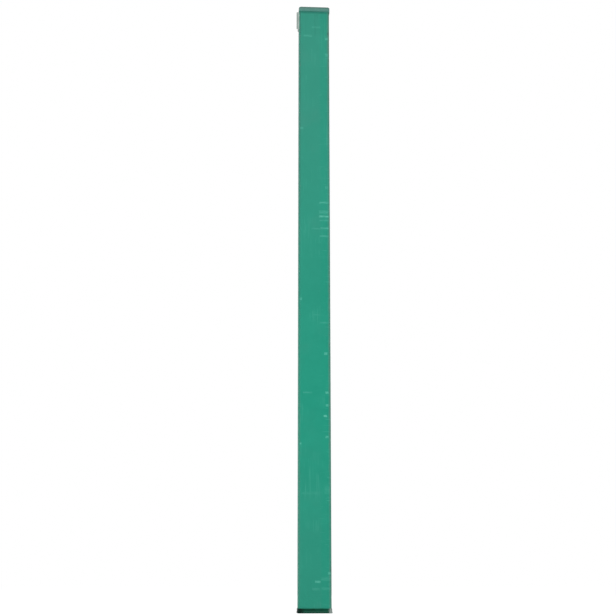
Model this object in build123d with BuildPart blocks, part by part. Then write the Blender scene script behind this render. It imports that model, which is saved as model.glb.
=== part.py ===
from build123d import *
import os

os.makedirs("parts", exist_ok=True)

# Fence post: a rectangular steel tube with a moulded plug in each end and an angled clamp plate on its left side.
# Millimetres. +Z is up, the front faces -Y, and the origin is the middle of the face that it stands on.

# Rolled steel tube
tube_width = 60.0
tube_depth = 40.0
tube_length = 1170.0
tube_wall = 2.0
tube_inner_radius = 2.0

# Rims and spigots of the two moulded plugs
rim_overhang = 1.0
spigot_gap = 1.2
spigot_wall = 1.8
spigot_length = 14.0
spigot_radius = 1.5
fin_count = 2
fin_start = 2.5
fin_pitch = 5.0
fin_height = 3.6
fin_edge = 0.6
fin_clearance = 0.1
web_thickness = 1.6
web_setback = 3.0

# Top cap
cap_rim_height = 10.0
cap_roof = 3.0
cap_edge_radius = 1.2
crown_margin = 1.5
crown_run = 11.0
crown_rise = 1.6
crown_radius = 3.0

# Foot plug
foot_rim_height = 8.5
foot_floor = 3.5
sole_height = 2.6
sole_step = 0.5
sole_edge_radius = 1.0

# Clamp plate, cut from rolled steel angle
clamp_leg = 18.0
clamp_lip = 5.5
clamp_height = 36.0
clamp_thickness = 2.5
clamp_heel_radius = 0.5
clamp_root_radius = 1.0
clamp_leg_corner = 5.0
clamp_lip_corner = 1.2
clamp_drop = 0.5

# Countersunk self-drilling screw
screw_radius = 2.4
screw_head_radius = 4.6
screw_length = 25.0
screw_point_length = 6.0
screw_clearance = 0.05
screw_spigot_clearance = 1.5
recess_span = 4.4
recess_slot = 1.0
recess_depth = 1.8

# Sizes that follow from those above
tube_outer_radius = tube_inner_radius + tube_wall
bore_width = tube_width - 2 * tube_wall
bore_depth = tube_depth - 2 * tube_wall
rim_width = tube_width + 2 * rim_overhang
rim_depth = tube_depth + 2 * rim_overhang
rim_radius = tube_outer_radius + rim_overhang
spigot_width = bore_width - 2 * spigot_gap
spigot_depth = bore_depth - 2 * spigot_gap
hollow_width = spigot_width - 2 * spigot_wall
hollow_depth = spigot_depth - 2 * spigot_wall
fin_width = bore_width - 2 * fin_clearance
fin_depth = bore_depth - 2 * fin_clearance

tube_top = foot_rim_height + tube_length
screw_drop = max(
    clamp_drop + clamp_height / 2,
    spigot_length + screw_spigot_clearance + screw_radius,
)
screw_height = tube_top - screw_drop
left_side = -tube_width / 2
lip_front = tube_outer_radius - tube_depth / 2
clamp_rear = lip_front + clamp_leg
clamp_flat = clamp_leg - clamp_thickness - clamp_root_radius

# Planes on which the pieces meet
cap_seat = Plane.XY.offset(tube_top)
foot_seat = Plane(origin=(0, 0, foot_rim_height), x_dir=(1, 0, 0), z_dir=(0, 0, -1))
screw_seat = (left_side, clamp_rear - clamp_flat / 2, screw_height)
clamp_face = Plane(origin=screw_seat, x_dir=(0, -1, 0), z_dir=(-1, 0, 0))
clamp_outside = clamp_face.offset(clamp_thickness)


def plug_blank(seat, rim_height, end_wall):
    """A plug whose rim stands on the seat plane and whose finned hollow spigot reaches behind it."""
    with BuildPart() as blank:
        with BuildSketch(seat):
            RectangleRounded(rim_width, rim_depth, rim_radius)
        extrude(amount=rim_height)
        with BuildSketch(seat):
            RectangleRounded(spigot_width, spigot_depth, spigot_radius)
        extrude(amount=-spigot_length)

        # Barbed fins: each widens from inside the spigot's wall to a thin edge at the bore of the tube
        for index in range(fin_count):
            fin_top = fin_start + index * fin_pitch
            with BuildSketch(seat.offset(-fin_top)):
                RectangleRounded(fin_width, fin_depth, tube_inner_radius)
            extrude(amount=-fin_edge)
            with BuildSketch(seat.offset(-fin_top - fin_edge)):
                RectangleRounded(fin_width, fin_depth, tube_inner_radius)
            with BuildSketch(seat.offset(-fin_top - fin_height)):
                RectangleRounded(hollow_width, hollow_depth, spigot_radius)
            loft(ruled=True)

        # The mould's core leaves the spigot hollow up to the end wall
        with BuildSketch(seat.offset(-spigot_length)):
            RectangleRounded(hollow_width, hollow_depth, spigot_radius)
        extrude(amount=spigot_length + rim_height - end_wall, mode=Mode.SUBTRACT)

        # Crossed webs stiffen the end wall and the spigot
        with BuildSketch(seat.offset(rim_height - end_wall)):
            Rectangle(hollow_width, web_thickness)
            Rectangle(web_thickness, hollow_depth)
        extrude(amount=web_setback - spigot_length - rim_height + end_wall)
    return blank.part


cap_blank = plug_blank(cap_seat, cap_rim_height, cap_roof)
foot_blank = plug_blank(foot_seat, foot_rim_height, foot_floor)

# Tube with the hole that the screw drills in its left wall
with BuildPart() as post_tube:
    with BuildSketch(Plane.XY.offset(foot_rim_height)):
        RectangleRounded(tube_width, tube_depth, tube_outer_radius)
        RectangleRounded(bore_width, bore_depth, tube_inner_radius, mode=Mode.SUBTRACT)
    extrude(amount=tube_length)
    with Locations(clamp_face):
        Hole(screw_radius + screw_clearance, depth=tube_wall)
post_tube.part.label = "post_tube"
export_step(post_tube.part, "parts/post_tube.step")

# Top cap: rounded rim edge and a shallow hipped crown that sheds rain
with BuildPart() as top_cap:
    add(cap_blank)
    cap_edge = min(cap_edge_radius, cap_rim_height / 3)
    fillet(top_cap.faces().sort_by(Axis.Z)[-1].edges(), radius=cap_edge)
    crown_width = rim_width - 2 * (cap_edge + crown_margin)
    crown_depth = rim_depth - 2 * (cap_edge + crown_margin)
    with BuildSketch(cap_seat.offset(cap_rim_height)):
        RectangleRounded(crown_width, crown_depth, crown_radius)
    with BuildSketch(cap_seat.offset(cap_rim_height + crown_rise)):
        RectangleRounded(crown_width - 2 * crown_run, crown_depth - 2 * crown_run, crown_radius)
    loft(ruled=True)
top_cap.part.label = "top_cap"
export_step(top_cap.part, "parts/top_cap.step")

# Foot plug: a wider sole with a sloped shoulder under the rim
with BuildPart() as foot_plug:
    add(foot_blank)
    sole_width = rim_width + 2 * sole_step
    sole_depth = rim_depth + 2 * sole_step
    with BuildSketch(Plane.XY):
        RectangleRounded(sole_width, sole_depth, rim_radius + sole_step)
    extrude(amount=sole_height)
    with BuildSketch(Plane.XY.offset(sole_height)):
        RectangleRounded(sole_width, sole_depth, rim_radius + sole_step)
    with BuildSketch(Plane.XY.offset(sole_height + sole_step)):
        RectangleRounded(rim_width, rim_depth, rim_radius)
    loft(ruled=True)
    sole_edge = min(sole_edge_radius, sole_height / 2)
    fillet(foot_plug.faces().sort_by(Axis.Z)[0].edges(), radius=sole_edge)
foot_plug.part.label = "foot_plug"
export_step(foot_plug.part, "parts/foot_plug.step")

# Clamp plate: one leg lies on the tube's left side, and the lip stands out beside the front
with BuildPart() as clamp_plate:
    with BuildSketch(Plane.XY.offset(screw_height - clamp_height / 2)):
        with BuildLine():
            Polyline(
                (left_side, lip_front),
                (left_side - clamp_lip, lip_front),
                (left_side - clamp_lip, lip_front + clamp_thickness),
                (left_side - clamp_thickness, lip_front + clamp_thickness),
                (left_side - clamp_thickness, clamp_rear),
                (left_side, clamp_rear),
                close=True,
            )
        make_face()
    extrude(amount=clamp_height)
    leg_ends = clamp_plate.edges().filter_by(Axis.X).sort_by(Axis.Y)[-2:]
    lip_ends = clamp_plate.edges().filter_by(Axis.Y).sort_by(Axis.X)[:2]
    fillet(leg_ends, radius=clamp_leg_corner)
    fillet(lip_ends, radius=clamp_lip_corner)
    upright = clamp_plate.edges().filter_by(Axis.Z)
    heel = upright.sort_by_distance((left_side, lip_front, screw_height))[0]
    fillet(heel, radius=clamp_heel_radius)
    upright = clamp_plate.edges().filter_by(Axis.Z)
    root_corner = (left_side - clamp_thickness, lip_front + clamp_thickness, screw_height)
    root = upright.sort_by_distance(root_corner)[0]
    fillet(root, radius=clamp_root_radius)
    with Locations(clamp_outside):
        CounterSinkHole(
            screw_radius + screw_clearance,
            screw_head_radius + screw_clearance,
            depth=clamp_thickness,
            counter_sink_angle=90,
        )
clamp_plate.part.label = "clamp_plate"
export_step(clamp_plate.part, "parts/clamp_plate.step")

# Screw with its head flush in the plate's leg and its drill point inside the tube
screw_section = Plane(origin=clamp_outside.origin, x_dir=(1, 0, 0), z_dir=(0, -1, 0))
with BuildPart() as clamp_screw:
    with BuildSketch(screw_section):
        with BuildLine():
            Polyline(
                (0, 0),
                (0, screw_head_radius),
                (screw_head_radius - screw_radius, screw_radius),
                (screw_length - screw_point_length, screw_radius),
                (screw_length, 0),
                close=True,
            )
        make_face()
    revolve(axis=Axis(clamp_outside.origin, (1, 0, 0)))
    with BuildSketch(clamp_outside):
        Rectangle(recess_span, recess_slot)
        Rectangle(recess_slot, recess_span)
    extrude(amount=-recess_depth, mode=Mode.SUBTRACT)
clamp_screw.part.label = "clamp_screw"
export_step(clamp_screw.part, "parts/clamp_screw.step")
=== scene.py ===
from math import cos, radians, sin

import bmesh
import bpy
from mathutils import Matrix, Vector


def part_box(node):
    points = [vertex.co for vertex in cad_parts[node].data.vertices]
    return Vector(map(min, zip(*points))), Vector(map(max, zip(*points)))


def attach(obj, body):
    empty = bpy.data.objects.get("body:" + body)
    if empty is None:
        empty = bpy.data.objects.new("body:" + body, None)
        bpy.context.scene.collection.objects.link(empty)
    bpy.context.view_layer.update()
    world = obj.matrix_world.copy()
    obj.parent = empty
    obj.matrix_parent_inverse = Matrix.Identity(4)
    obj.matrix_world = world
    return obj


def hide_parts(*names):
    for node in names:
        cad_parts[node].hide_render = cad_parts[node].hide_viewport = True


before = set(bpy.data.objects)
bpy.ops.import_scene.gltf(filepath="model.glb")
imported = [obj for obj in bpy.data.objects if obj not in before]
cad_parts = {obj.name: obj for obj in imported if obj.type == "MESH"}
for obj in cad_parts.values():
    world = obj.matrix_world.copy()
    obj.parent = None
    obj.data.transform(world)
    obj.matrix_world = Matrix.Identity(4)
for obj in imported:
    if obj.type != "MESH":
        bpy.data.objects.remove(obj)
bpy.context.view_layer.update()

# Post: a rectangular steel tube, roll-formed from strip with rounded corners and cut square at both ends,
# then powder-coated green. The walls are 2 mm thick, and the left one has a hole for the clamp's screw.
# Stacking and handling have left pale rubs in the coat, most of them beside the right-hand corner.
corner_radius = 0.004
corner_segments = 12
wall = 0.002
screw_hole_radius = 0.00245
screw_hole_vertices = 32
drill_length = 4 * wall
crisp_angle = radians(30)
tube_low, tube_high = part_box("post_tube")
screw_low, screw_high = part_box("clamp_screw")
screw_axis = (screw_low + screw_high) / 2


def pick(kind, test):
    """In edit mode, selects only the faces or edges that the test keeps."""
    bpy.ops.mesh.select_all(action="DESELECT")
    bpy.ops.mesh.select_mode(type="FACE" if kind == "faces" else "EDGE")
    edited = bmesh.from_edit_mesh(bpy.context.object.data)
    for part in getattr(edited, kind):
        part.select_set(test(part))
    bmesh.update_edit_mesh(bpy.context.object.data)


def is_upright(edge):
    """True for an edge that runs up the post."""
    return abs(edge.verts[0].co.z - edge.verts[1].co.z) > wall


def is_level(face):
    """True for a face that looks straight up or down."""
    return abs(face.normal.z) > cos(crisp_angle)


def apply_modifier(piece, kind, **settings):
    """Adds one modifier to a piece and applies it."""
    added = piece.modifiers.new(kind.lower(), kind)
    for name, value in settings.items():
        setattr(added, name, value)
    bpy.context.view_layer.objects.active = piece
    bpy.ops.object.modifier_apply(modifier=added.name)


def combine(piece, tool, operation):
    """Joins another shape to a piece, or cuts it out of the piece, and discards that shape."""
    apply_modifier(piece, "BOOLEAN", operation=operation, object=tool, solver="EXACT")
    bpy.data.objects.remove(tool)


def smooth_faces(piece):
    """Shades a piece's curved faces smooth and keeps its edges crisp."""
    bpy.ops.object.select_all(action="DESELECT")
    piece.select_set(True)
    bpy.context.view_layer.objects.active = piece
    bpy.ops.object.shade_smooth_by_angle(angle=crisp_angle)
    apply_modifier(piece, "WEIGHTED_NORMAL", weight=100, keep_sharp=True)


bpy.ops.object.select_all(action="DESELECT")
bpy.ops.mesh.primitive_cube_add(size=1, location=(tube_low + tube_high) / 2, scale=tube_high - tube_low)
coated_tube = bpy.context.object
coated_tube.name = "coated_tube"
bpy.ops.object.transform_apply(location=True, rotation=True, scale=True)
bpy.ops.object.mode_set(mode="EDIT")
pick("edges", is_upright)
bpy.ops.mesh.bevel(offset=corner_radius, segments=corner_segments, profile=0.5, affect="EDGES")
pick("faces", is_level)
bpy.ops.mesh.delete(type="FACE")
bpy.ops.object.mode_set(mode="OBJECT")
apply_modifier(coated_tube, "SOLIDIFY", thickness=wall, offset=-1, use_even_offset=True)

bpy.ops.object.select_all(action="DESELECT")
bpy.ops.mesh.primitive_cylinder_add(
    vertices=screw_hole_vertices,
    radius=screw_hole_radius,
    depth=drill_length,
    location=(tube_low.x, screw_axis.y, screw_axis.z),
    rotation=(0, radians(90), 0),
)
combine(coated_tube, bpy.context.object, "DIFFERENCE")
smooth_faces(coated_tube)


class Finish:
    """One socket of a finish's node tree. Arithmetic on it adds Math nodes to that tree."""

    def __init__(self, tree, socket=None):
        self.tree = tree
        self.socket = socket

    def node(self, kind, settings, inputs, output=0):
        """Any node: its type, then its settings, then the values or links of its sockets."""
        made = self.tree.nodes.new("ShaderNode" + kind)
        for name, value in settings.items():
            setattr(made, name, value)
        for name, value in inputs.items():
            if isinstance(value, Finish):
                self.tree.links.new(value.socket, made.inputs[name])
            else:
                made.inputs[name].default_value = value
        return Finish(self.tree, made.outputs[output])

    def feed(self, shader, name):
        """Links this socket to an input of the shader."""
        self.tree.links.new(self.socket, shader.inputs[name])

    def math(self, operation, first, second):
        """A Math node on two sockets or numbers."""
        return self.node("Math", {"operation": operation}, {0: first, 1: second})

    def __add__(self, other):
        return self.math("ADD", self, other)

    def __sub__(self, other):
        return self.math("SUBTRACT", self, other)

    def __rsub__(self, other):
        return self.math("SUBTRACT", other, self)

    def __mul__(self, other):
        return self.math("MULTIPLY", self, other)

    __radd__ = __add__
    __rmul__ = __mul__

    def __or__(self, other):
        """The stronger of two masks."""
        return self.math("MAXIMUM", self, other)

    def __abs__(self):
        return self.math("ABSOLUTE", self, 0.0)


millimetres = 1000


def new_finish(name):
    """A material with one Principled shader, and the place on the piece in millimetres."""
    material = bpy.data.materials.new(name)
    material.use_nodes = True
    shader = material.node_tree.nodes["Principled BSDF"]
    metres = Finish(material.node_tree).node("TexCoord", {}, {}, "Object")
    place = metres.node("VectorMath", {"operation": "SCALE"}, {0: metres, "Scale": millimetres})
    return material, shader, place


def along(axis, vector):
    """The part of a vector along X, Y or Z."""
    return vector.node("SeparateXYZ", {}, {0: vector}, axis)


def cloud(place, size, detail=2, stretch=(1, 1, 1)):
    """Soft noise around 0.5, in patches about this many millimetres across, longer where stretched."""
    squeezed = tuple(1 / share for share in stretch)
    spread = place.node("VectorMath", {"operation": "MULTIPLY"}, {0: place, 1: squeezed})
    return place.node("TexNoise", {}, {"Vector": spread, "Scale": 1 / size, "Detail": detail})


def step(value, off, on):
    """A mask that goes smoothly from 0, where the value is at or beyond off, to 1 at or beyond on."""
    ends = {"Value": value, "From Min": min(off, on), "From Max": max(off, on)}
    rising = value.node("MapRange", {"interpolation_type": "SMOOTHSTEP"}, ends)
    return rising if off < on else 1 - rising


def tint(mask, under, over):
    """One colour over another where the mask is 1."""
    return mask.node("Mix", {"data_type": "RGBA"}, {0: mask, 6: under, 7: over}, 2)


def relief(height, depth):
    """A normal from a height map whose full range is this many metres deep."""
    return height.node("Bump", {}, {"Strength": 1.0, "Distance": depth, "Height": height})


coat_green = (0.009, 0.290, 0.193, 1)
coat_deep = (0.004, 0.266, 0.175, 1)
coat_faded = (0.044, 0.258, 0.193, 1)
coat_grime_and_shade = (0.016, 0.135, 0.100, 1)
coat_worn_and_shade = (0.046, 0.150, 0.118, 1)
coat_corner_sheen_shade = (0.088, 0.222, 0.170, 1)
coat_rubbed_and_highlight = (0.105, 0.480, 0.360, 1)
bare_steel = (0.190, 0.220, 0.210, 1)
coat_roughness = 0.52
coat_gloss = 0.10
peel_depth = 0.00006

# Places on the post, in millimetres as every finish reads them
half_width = tube_high.x * millimetres
half_depth = tube_high.y * millimetres
rim_seat = tube_high.z * millimetres
plate_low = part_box("clamp_plate")[0]
plate_bottom = plate_low.z * millimetres
green_coat, shader, place = new_finish("green_powder_coat")
x = along("X", place)
y = along("Y", place)
z = along("Z", place)
ragged = cloud(place, size=3, detail=3) - 0.5

# The coat is greyer towards the top, and damp has faded it near the ground, both less on the right
top_greying_heights = (150, 1170)
top_greying = 0.70
damp_heights = (420, 60)
damp_fading = 0.40
patch_fading = 0.20
spared_right = (9, 14)
spared_share = 0.35
mottle = cloud(place, size=14)
unevenness = cloud(place, size=90, detail=3) * 0.7 + mottle * 0.3
colour = tint(step(unevenness, 0.35, 0.65), coat_deep, coat_green)
fading = step(z, *top_greying_heights) * top_greying + step(z, *damp_heights) * damp_fading
fading = fading + step(cloud(place, size=60, detail=3), 0.5, 0.8) * patch_fading
fading = fading * (1 - step(x + ragged * 4, *spared_right) * spared_share)
colour = tint(fading, colour, coat_faded)

# A painted shadow lies under the cap's rim, and grime has run down from there and is splashed up from the
# ground
rim_shadow_band = (rim_seat - 6.0, rim_seat - 2.5)
rim_shadow_strength = 0.6
drip_heights = (1130, 1215)
drip_wander = 90
drip_grime = 0.3
splash_heights = (120, 25)
splash_wander = 60
splash_grime = 0.2
# A painted shadow band just under the cap's rim
painted_rim_shadow = step(z, *rim_shadow_band) * rim_shadow_strength
drips = step(cloud(place, size=2.5, detail=3, stretch=(1, 1, 40)), 0.52, 0.72)
drips = drips * step(z + cloud(place, size=12) * drip_wander, *drip_heights) * drip_grime
splash = step(cloud(place, size=2.2, detail=4), 0.5, 0.66)
splash = splash * step(z + cloud(place, size=25) * splash_wander, *splash_heights) * splash_grime
colour = tint(painted_rim_shadow | drips | splash, colour, coat_grime_and_shade)

# The corners carry painted shade where they turn from the light, darker towards the top, greyer low on the
# left and all along the right, and the left front one has a painted highlight beside the clamp plate
left_shade_heights = (300, 900)
left_shade = 0.6
right_shade_heights = (850, 1050)
right_shade = 0.3
left_sheen_shade_heights = (700, 300)
left_sheen_shade_strength = 0.5
right_sheen_shade_strength = 0.85
plate_side_highlight_strength = 0.6
streaky = step(cloud(place, size=20, detail=4, stretch=(1, 1, 3)), 0.35, 0.6)
corner = step(abs(y), half_depth - 3.5, half_depth - 1.2) * (0.6 + streaky * 0.4)
at_left = step(x, 3.5 - half_width, 1.2 - half_width)
at_right = step(x, half_width - 7.0, half_width - 2.0)
# Painted shade darkens the corners towards the top
left_corner_shade = at_left * step(z, *left_shade_heights) * left_shade
right_corner_shade = at_right * step(z, *right_shade_heights) * right_shade
colour = tint(corner * (left_corner_shade | right_corner_shade), colour, coat_worn_and_shade)
# Painted shade and sheen make the corners greyer
left_sheen_shade = at_left * step(z, *left_sheen_shade_heights) * left_sheen_shade_strength
right_sheen_shade = step(x + ragged * 3, half_width - 6.0, half_width - 1.5) * right_sheen_shade_strength
colour = tint(corner * (left_sheen_shade | right_sheen_shade), colour, coat_corner_sheen_shade)
# A painted highlight on the left front corner beside the clamp plate
plate_side_highlight = step(x, 1.1 - half_width, 0.4 - half_width) * step(y, 5.0 - half_depth, 4.0 - half_depth)
plate_side_highlight = plate_side_highlight * step(z + ragged * 3, plate_bottom - 3.0, plate_bottom + 1.0)
colour = tint(plate_side_highlight * plate_side_highlight_strength, colour, coat_rubbed_and_highlight)

# Pale rubs: short level streaks towards the right and the front, upright hairlines, and groups of scratches,
# each given as (X, height, half length, half height, strength)
front_scuffs = (
    (-13.0, 1125, 8.5, 2.4, 0.28),
    (3.5, 1144, 8.5, 2.4, 0.18),
    (24.5, 1119, 3.0, 3.0, 0.38),
    (24.5, 1084, 3.0, 3.5, 0.34),
    (23.5, 803, 3.0, 3.0, 0.30),
    (18.5, 772, 9.0, 1.9, 0.48),
    (18.0, 753, 9.2, 3.4, 0.28),
    (18.0, 744, 9.2, 1.9, 0.72),
    (18.5, 736, 8.8, 1.8, 0.24),
    (3.0, 719, 8.5, 1.6, 0.18),
    (19.5, 720, 7.5, 1.8, 0.50),
    (18.5, 704, 8.5, 1.8, 0.40),
    (3.0, 548, 8.0, 1.6, 0.12),
    (18.5, 533, 8.5, 1.8, 0.20),
    (20.5, 473, 3.0, 2.4, 0.80),
    (-14.0, 399, 8.5, 1.8, 0.22),
    (22.8, 399, 2.8, 2.2, 0.90),
    (22.8, 375, 2.6, 2.2, 0.75),
    (20.0, 355, 3.0, 2.2, 0.75),
    (22.5, 316, 2.6, 2.2, 0.70),
    (23.0, 218, 5.0, 7.0, 0.14),
    (-8.0, 213, 16.0, 2.4, 0.10),
    (26.0, 70, 3.0, 2.2, 0.75),
    (19.5, 60, 8.5, 3.4, 0.18),
    (5.0, 55, 4.6, 2.0, 0.70),
    (1.5, 42, 6.6, 2.2, 0.22),
    (19.5, 43, 8.0, 2.6, 0.18),
    (-25.5, 926, 3.0, 2.6, 0.35),
    (-27.0, 579, 2.6, 2.6, 0.50),
    (-27.8, 304, 2.6, 2.2, 0.60),
)
streak_rub = 0.45
hairline_rub = 0.18
streaks = step(cloud(place, size=1.3, detail=1, stretch=(14, 14, 1)), 0.64, 0.74)
towards_right = step(x + cloud(place, size=40) * 20, 8, 38)
towards_front = step(y + cloud(place, size=9) * 16, 16, -6)
hairlines = step(cloud(place, size=0.7, detail=0, stretch=(1, 1, 70)), 0.66, 0.72)
hairlines = hairlines * step(cloud(place, size=45), 0.5, 0.62)
rubs = streaks * towards_right * towards_front * streak_rub | hairlines * hairline_rub
on_front = step(y, 1.0 - half_depth, 0.2 - half_depth)
scratch_pattern = 0.45 + step(cloud(place, size=0.9, stretch=(12, 12, 1)), 0.42, 0.6) * 0.9
for across, height, half_length, half_height, strength in front_scuffs:
    within_length = step(abs(x - across) + ragged * 4, half_length * 1.15, half_length * 0.85)
    within_height = step(abs(z - height) + ragged * 1.5, half_height * 1.3, half_height * 0.5)
    rubs = rubs | within_length * within_height * on_front * scratch_pattern * strength
colour = tint(rubs, colour, coat_rubbed_and_highlight)

# Dark nicks on the right-hand corner, given in the same order, and small chips down to the steel on all four
corner_nicks = (
    (27.8, 1131, 2.2, 5.5, 0.8),
    (29.0, 77, 2.0, 5.0, 0.9),
)
for across, height, half_length, half_height, strength in corner_nicks:
    reach = abs(x - across) * (1 / half_length) + abs(z - height) * (1 / half_height) + ragged * 3
    nick = step(reach, 1.3, 0.8) * step(y, 5.0 - half_depth, 3.0 - half_depth)
    colour = tint(nick * strength, colour, coat_worn_and_shade)
edges = step(abs(x), half_width - 3.0, half_width - 2.0) * step(abs(y), half_depth - 3.0, half_depth - 2.0)
chip_spots = step(cloud(place, size=2.4, detail=3), 0.64, 0.67)
chipped_stretches = step(cloud(place, size=70), 0.42, 0.55)
chips = edges * chip_spots * chipped_stretches
colour = tint(chips, colour, bare_steel)
colour.feed(shader, "Base Color")

# The coat has a satin sheen over a fine orange peel, and it is rougher where it is rubbed
(coat_roughness + (mottle - 0.5) * 0.12 + rubs * 0.15 - chips * 0.1).feed(shader, "Roughness")
peel = cloud(place, size=2.2, detail=1) + cloud(place, size=0.6, detail=0) * 0.25
relief(peel - rubs * 0.5 - chips * 2.0, peel_depth).feed(shader, "Normal")
shader.inputs["Specular IOR Level"].default_value = coat_gloss
coated_tube.data.materials.append(green_coat)
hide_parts("post_tube")
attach(coated_tube, "root")

# Top cap: an injection-moulded plastic plug with a low hipped crown and a rim that covers the tube's cut
# end. Its hollow, finned spigot is pressed into the tube. Weather has dulled it, least low on the rim, and
# its upper edges carry painted shade.
cap_green = (0.062, 0.188, 0.155, 1)
cap_pale = (0.085, 0.222, 0.186, 1)
cap_upper_shade = (0.045, 0.120, 0.100, 1)
cap_unfaded = (0.018, 0.190, 0.152, 1)
cap_roughness = 0.36
cap_gloss = 0.4
cap_grain_depth = 0.00003
unfaded_share = 0.6
upper_edge_shade_share = 0.7
cap_scratch_share = 0.4


def refinish(node, finish):
    """Gives a CAD node this finish in place of its plain one."""
    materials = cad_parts[node].data.materials
    materials.clear()
    materials.append(finish)


cap_plastic, shader, place = new_finish("grey_green_plastic")
colour = tint(step(cloud(place, size=18, detail=3), 0.35, 0.65), cap_green, cap_pale)
ragged_height = along("Z", place) + cloud(place, size=6, detail=3) * 2.0
unfaded = step(ragged_height, rim_seat + 6.5, rim_seat + 1.5) * unfaded_share
colour = tint(unfaded, colour, cap_unfaded)
# Painted shade darkens the upper edge of the rim and the crown
upper_edge_shade = step(ragged_height, rim_seat + 6.5, rim_seat + 8.5) * upper_edge_shade_share
colour = tint(upper_edge_shade, colour, cap_upper_shade)
scratches = step(cloud(place, size=0.9, detail=1, stretch=(9, 5, 1)), 0.64, 0.72) * cap_scratch_share
colour = tint(scratches, colour, cap_pale)
colour.feed(shader, "Base Color")
(cap_roughness + upper_edge_shade * 0.2 + scratches * 0.1).feed(shader, "Roughness")
relief(cloud(place, size=0.7) + scratches * 0.5, cap_grain_depth).feed(shader, "Normal")
shader.inputs["Specular IOR Level"].default_value = cap_gloss
refinish("top_cap", cap_plastic)

# Foot plug: a dark, softer plastic plug with a stepped sole that the post stands on, pressed in like the cap.
# Its step has a painted highlight over fine scratches, its left end is darker, near black, and its right
# front corner is paler.
foot_dark = (0.0005, 0.040, 0.021, 1)
foot_green = (0.0006, 0.060, 0.033, 1)
foot_scuff_and_highlight = (0.022, 0.100, 0.068, 1)
foot_near_black = (0.0006, 0.010, 0.006, 1)
foot_pale_corner = (0.300, 0.350, 0.330, 1)
foot_roughness = 0.6
foot_gloss = 0.08
foot_grain_depth = 0.00004
sole_top = 2.6
dark_end_reach = (-13, -24)
dark_end_share = 0.9
pale_corner_reach = (26.5, 30.5)
pale_corner_front = (-12, -18)
pale_corner_share = 0.9
foot_plastic, shader, place = new_finish("dark_green_plastic")
z = along("Z", place)
colour = tint(step(cloud(place, size=15, detail=3), 0.35, 0.65), foot_dark, foot_green)
# A painted highlight along the sole's step
step_highlight = step(z, sole_top - 0.8, sole_top) * step(z, sole_top + 1.6, sole_top + 0.6)
scratches = step(cloud(place, size=1.2, stretch=(6, 6, 1)), 0.62, 0.72)
step_highlight_and_scratches = step_highlight * 0.8 | scratches * 0.5
colour = tint(step_highlight_and_scratches, colour, foot_scuff_and_highlight)
ragged_x = along("X", place) + cloud(place, size=5, detail=3) * 6
# The left end darker, near black
colour = tint(step(ragged_x, *dark_end_reach) * dark_end_share, colour, foot_near_black)
# The right front corner paler
pale_corner = step(ragged_x, *pale_corner_reach) * step(along("Y", place), *pale_corner_front)
colour = tint(pale_corner * pale_corner_share, colour, foot_pale_corner)
colour.feed(shader, "Base Color")
(foot_roughness + step_highlight_and_scratches * 0.15).feed(shader, "Roughness")
relief(cloud(place, size=0.8), foot_grain_depth).feed(shader, "Normal")
shader.inputs["Specular IOR Level"].default_value = foot_gloss
refinish("foot_plug", foot_plastic)

# Clamp plate: a short length of rolled steel angle, sawn, deburred and hot-dip galvanised. One screw holds
# its leg against the left side under the cap, and its lip stands out to catch a panel. The zinc has dulled,
# except where it drained into a pale bead along the lower end.
zinc_dull = (0.270, 0.330, 0.305, 1)
zinc_bright = (0.360, 0.425, 0.398, 1)
zinc_stain_and_shade = (0.190, 0.230, 0.205, 1)
zinc_bead = (0.640, 0.680, 0.660, 1)
zinc_roughness = 0.50
zinc_metal = 0.45
zinc_grain_depth = 0.00003
spangle_size = 5
stain_share = 0.6
lip_shade_share = 0.75
bead_share = 0.9
lip_edge = plate_low.x * millimetres
zinc_plate, shader, place = new_finish("dull_zinc")
cells = place.node("TexVoronoi", {"feature": "F1"}, {"Vector": place, "Scale": 1 / spangle_size}, "Color")
spangle = along("X", cells)
colour = tint(spangle, zinc_dull, zinc_bright)
stain = step(cloud(place, size=7, detail=4), 0.52, 0.72)
# Painted shade darkens the lip's outer edge
lip_shade = step(along("X", place), lip_edge + 2.5, lip_edge + 1.1)
colour = tint(stain * stain_share | lip_shade * lip_shade_share, colour, zinc_stain_and_shade)
bead = step(along("Z", place), plate_bottom + 0.3, plate_bottom + 0.05)
colour = tint(bead * bead_share, colour, zinc_bead)
colour.feed(shader, "Base Color")
(zinc_roughness + spangle * 0.12 + stain * 0.15).feed(shader, "Roughness")
((zinc_metal - stain * 0.25) * (1 - bead)).feed(shader, "Metallic")
relief(cloud(place, size=1.0) + spangle * 0.6, zinc_grain_depth).feed(shader, "Normal")
refinish("clamp_plate", zinc_plate)

# Clamp screw: a countersunk self-drilling steel screw with a cross recess and a rolled thread, bright
# zinc-plated. It goes through the plate into the tube's wall, with its head flush. Its recess is darker.
head_radius = 0.0046
head_depth = 0.0023
core_radius = 0.0019
point_length = 0.006
point_radius = 0.00015
screw_vertices = 48
overlap = 0.0001
sliver = 0.00002
thread_radius = 0.0024
thread_flank = 0.00045
thread_pitch = 0.0014
thread_turns = 11
thread_steps = screw_vertices // 2
thread_sides = 3
recess_span = 0.0044
recess_slot = 0.001
recess_depth = 0.0018
recess_core_radius = 0.0012
recess_core_tip = 0.0005
recess_core_depth = 0.0024
recess_core_sides = 4


def turned_bar(begin, end, first_radius, last_radius, vertices=screw_vertices):
    """A straight or tapered bar on the screw's axis, between two places along X."""
    bpy.ops.object.select_all(action="DESELECT")
    bpy.ops.mesh.primitive_cone_add(
        vertices=vertices,
        radius1=first_radius,
        radius2=last_radius,
        depth=end - begin,
        location=((begin + end) / 2, screw_axis.y, screw_axis.z),
        rotation=(0, radians(90), 0),
    )
    bpy.ops.object.transform_apply(location=True, rotation=True, scale=True)
    return bpy.context.object


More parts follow.
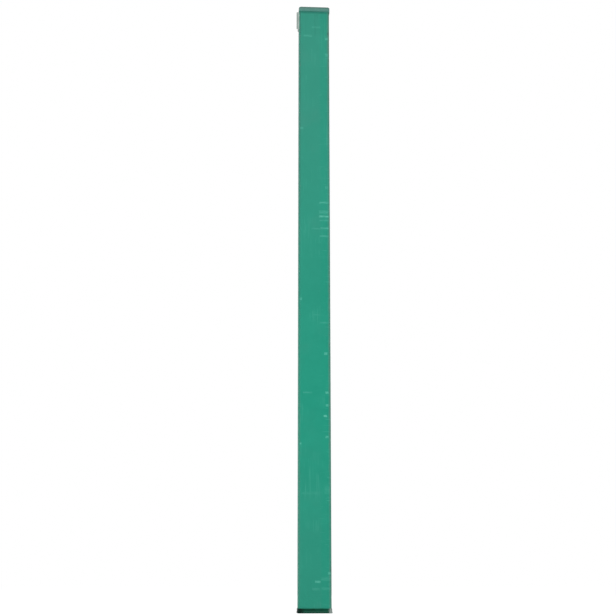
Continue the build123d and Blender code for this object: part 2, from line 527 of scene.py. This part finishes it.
head_top = screw_low.x
neck = head_top + head_depth
point_end = screw_high.x
point_start = point_end - point_length
threaded_screw = turned_bar(head_top, neck, head_radius, head_radius - head_depth)
threaded_screw.name = "threaded_screw"
combine(threaded_screw, turned_bar(neck - overlap, point_start, core_radius, core_radius), "UNION")
combine(threaded_screw, turned_bar(point_start - overlap, point_end, core_radius, point_radius), "UNION")

# The thread is a small triangle, turned round the shank from just below the head
bpy.ops.object.select_all(action="DESELECT")
thread_start = neck + thread_pitch / 2
bpy.ops.mesh.primitive_circle_add(
    vertices=thread_sides,
    radius=thread_flank,
    location=(thread_start, screw_axis.y, screw_axis.z + thread_radius - thread_flank),
    rotation=(radians(90), 0, 0),
)
thread = bpy.context.object
bpy.context.scene.cursor.location = (thread_start, screw_axis.y, screw_axis.z)
bpy.ops.object.origin_set(type="ORIGIN_CURSOR")
bpy.context.scene.cursor.location = (0, 0, 0)
bpy.ops.object.transform_apply(location=False, rotation=True, scale=True)
apply_modifier(
    thread,
    "SCREW",
    axis="X",
    angle=radians(360),
    screw_offset=thread_pitch,
    iterations=thread_turns,
    steps=thread_steps,
    render_steps=thread_steps,
)
bpy.ops.object.mode_set(mode="EDIT")
bpy.ops.mesh.select_all(action="SELECT")
bpy.ops.mesh.fill_holes(sides=thread_sides)
bpy.ops.mesh.select_all(action="SELECT")
bpy.ops.mesh.normals_make_consistent(inside=False)
bpy.ops.object.mode_set(mode="OBJECT")
bpy.ops.object.transform_apply(location=True, rotation=True, scale=True)
combine(threaded_screw, thread, "UNION")

# Two crossed slots and a deeper tapered core make the recess
for slot_depth, slot_height in ((recess_span, recess_slot), (recess_slot, recess_span)):
    bpy.ops.object.select_all(action="DESELECT")
    bpy.ops.mesh.primitive_cube_add(
        size=1,
        location=(head_top, screw_axis.y, screw_axis.z),
        scale=(2 * recess_depth, slot_depth, slot_height),
    )
    bpy.ops.object.transform_apply(location=True, rotation=True, scale=True)
    combine(threaded_screw, bpy.context.object, "DIFFERENCE")
recess_core = turned_bar(
    head_top - overlap,
    head_top + recess_core_depth,
    recess_core_radius,
    recess_core_tip,
    recess_core_sides,
)
combine(threaded_screw, recess_core, "DIFFERENCE")
bpy.context.view_layer.objects.active = threaded_screw
bpy.ops.object.mode_set(mode="EDIT")
bpy.ops.mesh.select_all(action="SELECT")
bpy.ops.mesh.remove_doubles(threshold=sliver)
bpy.ops.mesh.dissolve_degenerate(threshold=sliver)
bpy.ops.object.mode_set(mode="OBJECT")
smooth_faces(threaded_screw)

plating = (0.520, 0.540, 0.530, 1)
plating_worn = (0.330, 0.345, 0.335, 1)
recess_darkening = (0.060, 0.066, 0.060, 1)
plating_roughness = 0.3
plating_grain_depth = 0.00001
recess_darkening_share = 0.8
recess_mouth = head_top * millimetres
recess_bottom = (head_top + recess_core_depth) * millimetres
zinc_screw, shader, place = new_finish("bright_zinc")
x = along("X", place)
colour = tint(step(cloud(place, size=2.5, detail=3), 0.4, 0.65), plating, plating_worn)
# The recess is painted darker
recess = step(x, recess_mouth + 0.2, recess_mouth + 0.8) * step(x, recess_bottom + 0.3, recess_bottom)
colour = tint(recess * recess_darkening_share, colour, recess_darkening)
colour.feed(shader, "Base Color")
(plating_roughness + recess * 0.35).feed(shader, "Roughness")
shader.inputs["Metallic"].default_value = 1.0
relief(cloud(place, size=0.5), plating_grain_depth).feed(shader, "Normal")
threaded_screw.data.materials.append(zinc_screw)
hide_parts("clamp_screw")
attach(threaded_screw, "root")

# Floor: a large pale sheet that takes the post's shadow. To the camera and in reflections it glows enough
# to meet the background without an edge.
floor_width = 40
floor_white = (0.82, 0.82, 0.82, 1)
pure_white = (1, 1, 1, 1)
floor_glow = 1.6
floor_glow_share = 0.5


def seen_directly(start):
    """1 for rays from the camera and for those in reflections or through glass."""
    camera_rays = start.node("LightPath", {}, {}, "Is Camera Ray")
    glossy_rays = start.node("LightPath", {}, {}, "Is Glossy Ray")
    clear_rays = start.node("LightPath", {}, {}, "Is Transmission Ray")
    return camera_rays | glossy_rays | clear_rays


bpy.ops.object.select_all(action="DESELECT")
bpy.ops.mesh.primitive_plane_add(size=floor_width, location=(0, 0, 0))
floor = bpy.context.object
floor.name = "floor"
floor_finish = bpy.data.materials.new("pale_floor")
floor_finish.use_nodes = True
floor_finish.node_tree.nodes.remove(floor_finish.node_tree.nodes["Principled BSDF"])
start = Finish(floor_finish.node_tree)
matt = start.node("BsdfDiffuse", {}, {"Color": floor_white})
glow = start.node("Emission", {}, {"Color": pure_white, "Strength": floor_glow})
share = seen_directly(start) * floor_glow_share
surface = start.node("MixShader", {}, {0: share, 1: matt, 2: glow})
surface.feed(floor_finish.node_tree.nodes["Material Output"], "Surface")
floor.data.materials.append(floor_finish)

# Studio light: a white surround, dimmer as light than it looks, and three large soft lamps,
# the key in front and a little to the left, a weak fill on the right, and one behind for the back.
surround_light = 0.5
lamp_aim = Vector((0, 0, 0.6))
world = bpy.data.worlds.new("white_surround")
bpy.context.scene.world = world
world.use_nodes = True
start = Finish(world.node_tree)
background = world.node_tree.nodes["Background"]
background.inputs["Color"].default_value = pure_white
(surround_light + seen_directly(start) * (1 - surround_light)).feed(background, "Strength")


def soft_lamp(name, place, width, power):
    """A square area lamp that faces the middle of the post."""
    lamp = bpy.data.lights.new(name, "AREA")
    lamp.size = width
    lamp.energy = power
    holder = bpy.data.objects.new(name, lamp)
    holder.location = place
    holder.rotation_euler = (lamp_aim - Vector(place)).to_track_quat("-Z", "Y").to_euler()
    bpy.context.scene.collection.objects.link(holder)


soft_lamp("key_lamp", place=(-1.0, -3.0, 0.9), width=1.8, power=53)
soft_lamp("fill_lamp", place=(2.2, -2.0, 1.2), width=2.0, power=8)
soft_lamp("rear_lamp", place=(0.8, 3.0, 1.4), width=2.0, power=24)

# Camera: low and close in front of the post, a little to its left, and tilted up to take in the cap,
# as the photograph was taken.
camera_distance = 2.1519
camera_height = 0.05
camera_side = radians(3.868)
heading = radians(3.561)
tilt = radians(13.486)
lens = 67.422
film_width = 36
camera_data = bpy.data.cameras.new("camera")
camera_data.lens = lens
camera_data.sensor_width = film_width
camera = bpy.data.objects.new("camera", camera_data)
camera.location = (-camera_distance * sin(camera_side), -camera_distance * cos(camera_side), camera_height)
camera.rotation_euler = (radians(90) + tilt, 0, -heading)
bpy.context.scene.collection.objects.link(camera)
bpy.context.scene.camera = camera
bpy.context.scene.view_settings.view_transform = "Standard"
